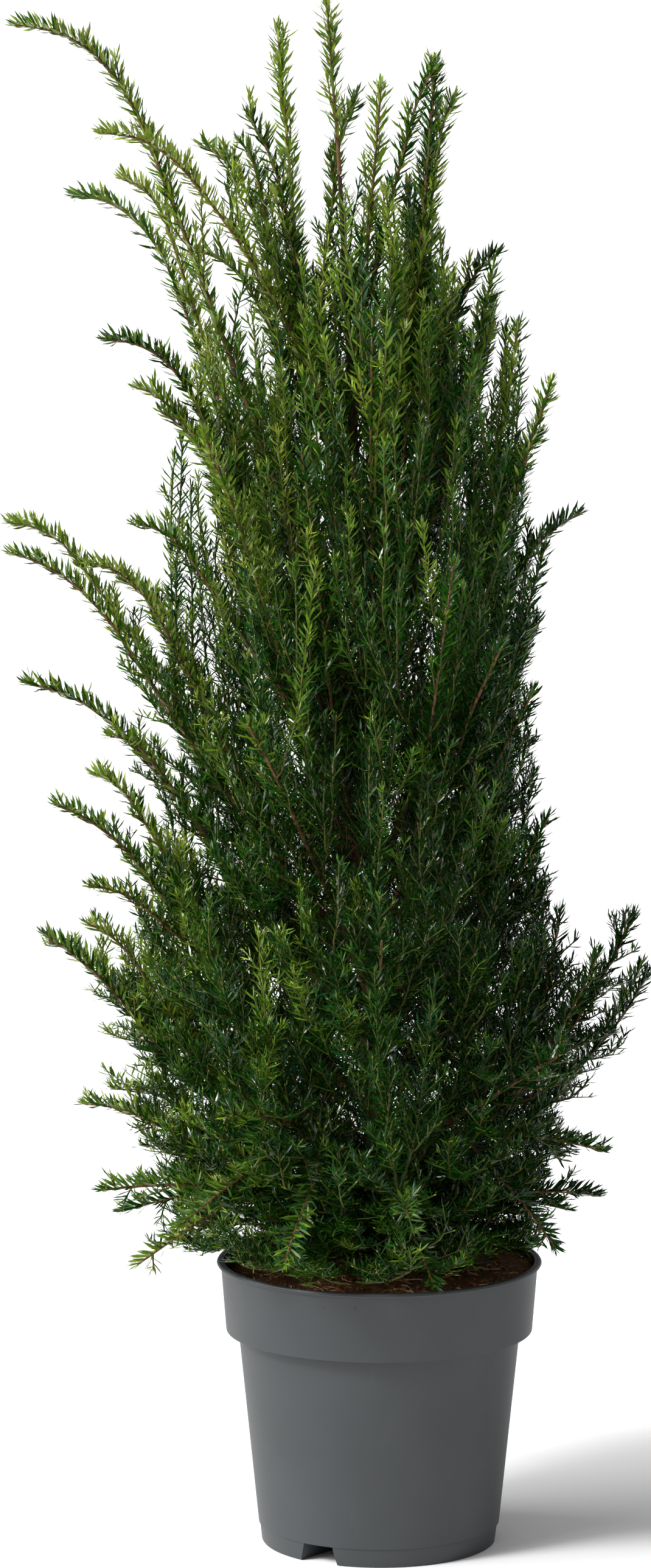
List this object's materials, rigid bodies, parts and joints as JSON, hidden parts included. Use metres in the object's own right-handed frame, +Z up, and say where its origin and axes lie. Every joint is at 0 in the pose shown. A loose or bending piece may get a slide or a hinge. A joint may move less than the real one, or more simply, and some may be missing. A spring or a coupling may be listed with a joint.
{
  "type": "potted yew shrub",
  "caption": "Upright evergreen yew with arching shoots of dark needles, growing in a round grey nursery pot filled with peat.",
  "frame": {"origin": "middle of the pot's flat underside, on the ground it stands on", "axes": "+Z up along the pot's axis and the plant's height; the front seen in the reference view faces -Y"},
  "size_m": [0.7907, 0.6363, 1.8026],
  "materials": {
    "pot_plastic": "matt grey moulded polypropylene",
    "peat": "damp dark brown peat with pale fibres",
    "bark": "thin flaking reddish-brown yew bark",
    "needles": "glossy dark green needles"
  },
  "bodies": {
    "root": {"pot": "pot_plastic", "soil": "peat", "trunk": "bark", "low_left_bough": "bark", "low_left_foliage": "needles", "low_left_under_bough": "bark", "low_left_under_foliage": "needles", "low_front_left_bough": "bark", "low_front_left_foliage": "needles", "low_front_foliage": "needles", "low_front_right_bough": "bark", "low_front_right_foliage": "needles", "low_right_bough": "bark", "low_right_foliage": "needles", "low_right_under_foliage": "needles", "low_right_back_bough": "bark", "low_right_back_foliage": "needles", "low_back_right_bough": "bark", "low_back_right_foliage": "needles", "low_back_bough": "bark", "low_back_foliage": "needles", "low_left_back_bough": "bark", "low_left_back_foliage": "needles", "mid_left_low_bough": "bark", "mid_left_low_foliage": "needles", "mid_left_bough": "bark", "mid_left_foliage": "needles", "mid_left_back_bough": "bark", "mid_left_back_foliage": "needles", "mid_left_high_bough": "bark", "mid_left_high_foliage": "needles", "mid_front_left_bough": "bark", "mid_front_left_foliage": "needles", "mid_front_bough": "bark", "mid_front_foliage": "needles", "mid_front_right_bough": "bark", "mid_front_right_foliage": "needles", "mid_right_low_foliage": "needles", "mid_right_foliage": "needles", "mid_back_right_bough": "bark", "mid_back_right_foliage": "needles", "mid_back_bough": "bark", "mid_back_foliage": "needles", "high_right_foliage": "needles", "high_right_front_foliage": "needles", "high_front_foliage": "needles", "high_front_left_foliage": "needles", "high_left_foliage": "needles", "high_left_back_foliage": "needles", "high_back_foliage": "needles", "left_arch_foliage": "needles", "top_left_arch_bough": "bark", "top_left_arch_foliage": "needles", "leader_left_bough": "bark", "leader_left_foliage": "needles", "second_arch_foliage": "needles", "third_arch_foliage": "needles", "right_leader_foliage": "needles", "right_upright_foliage": "needles", "leading_shoot_foliage": "needles"}
  },
  "joints": []
}
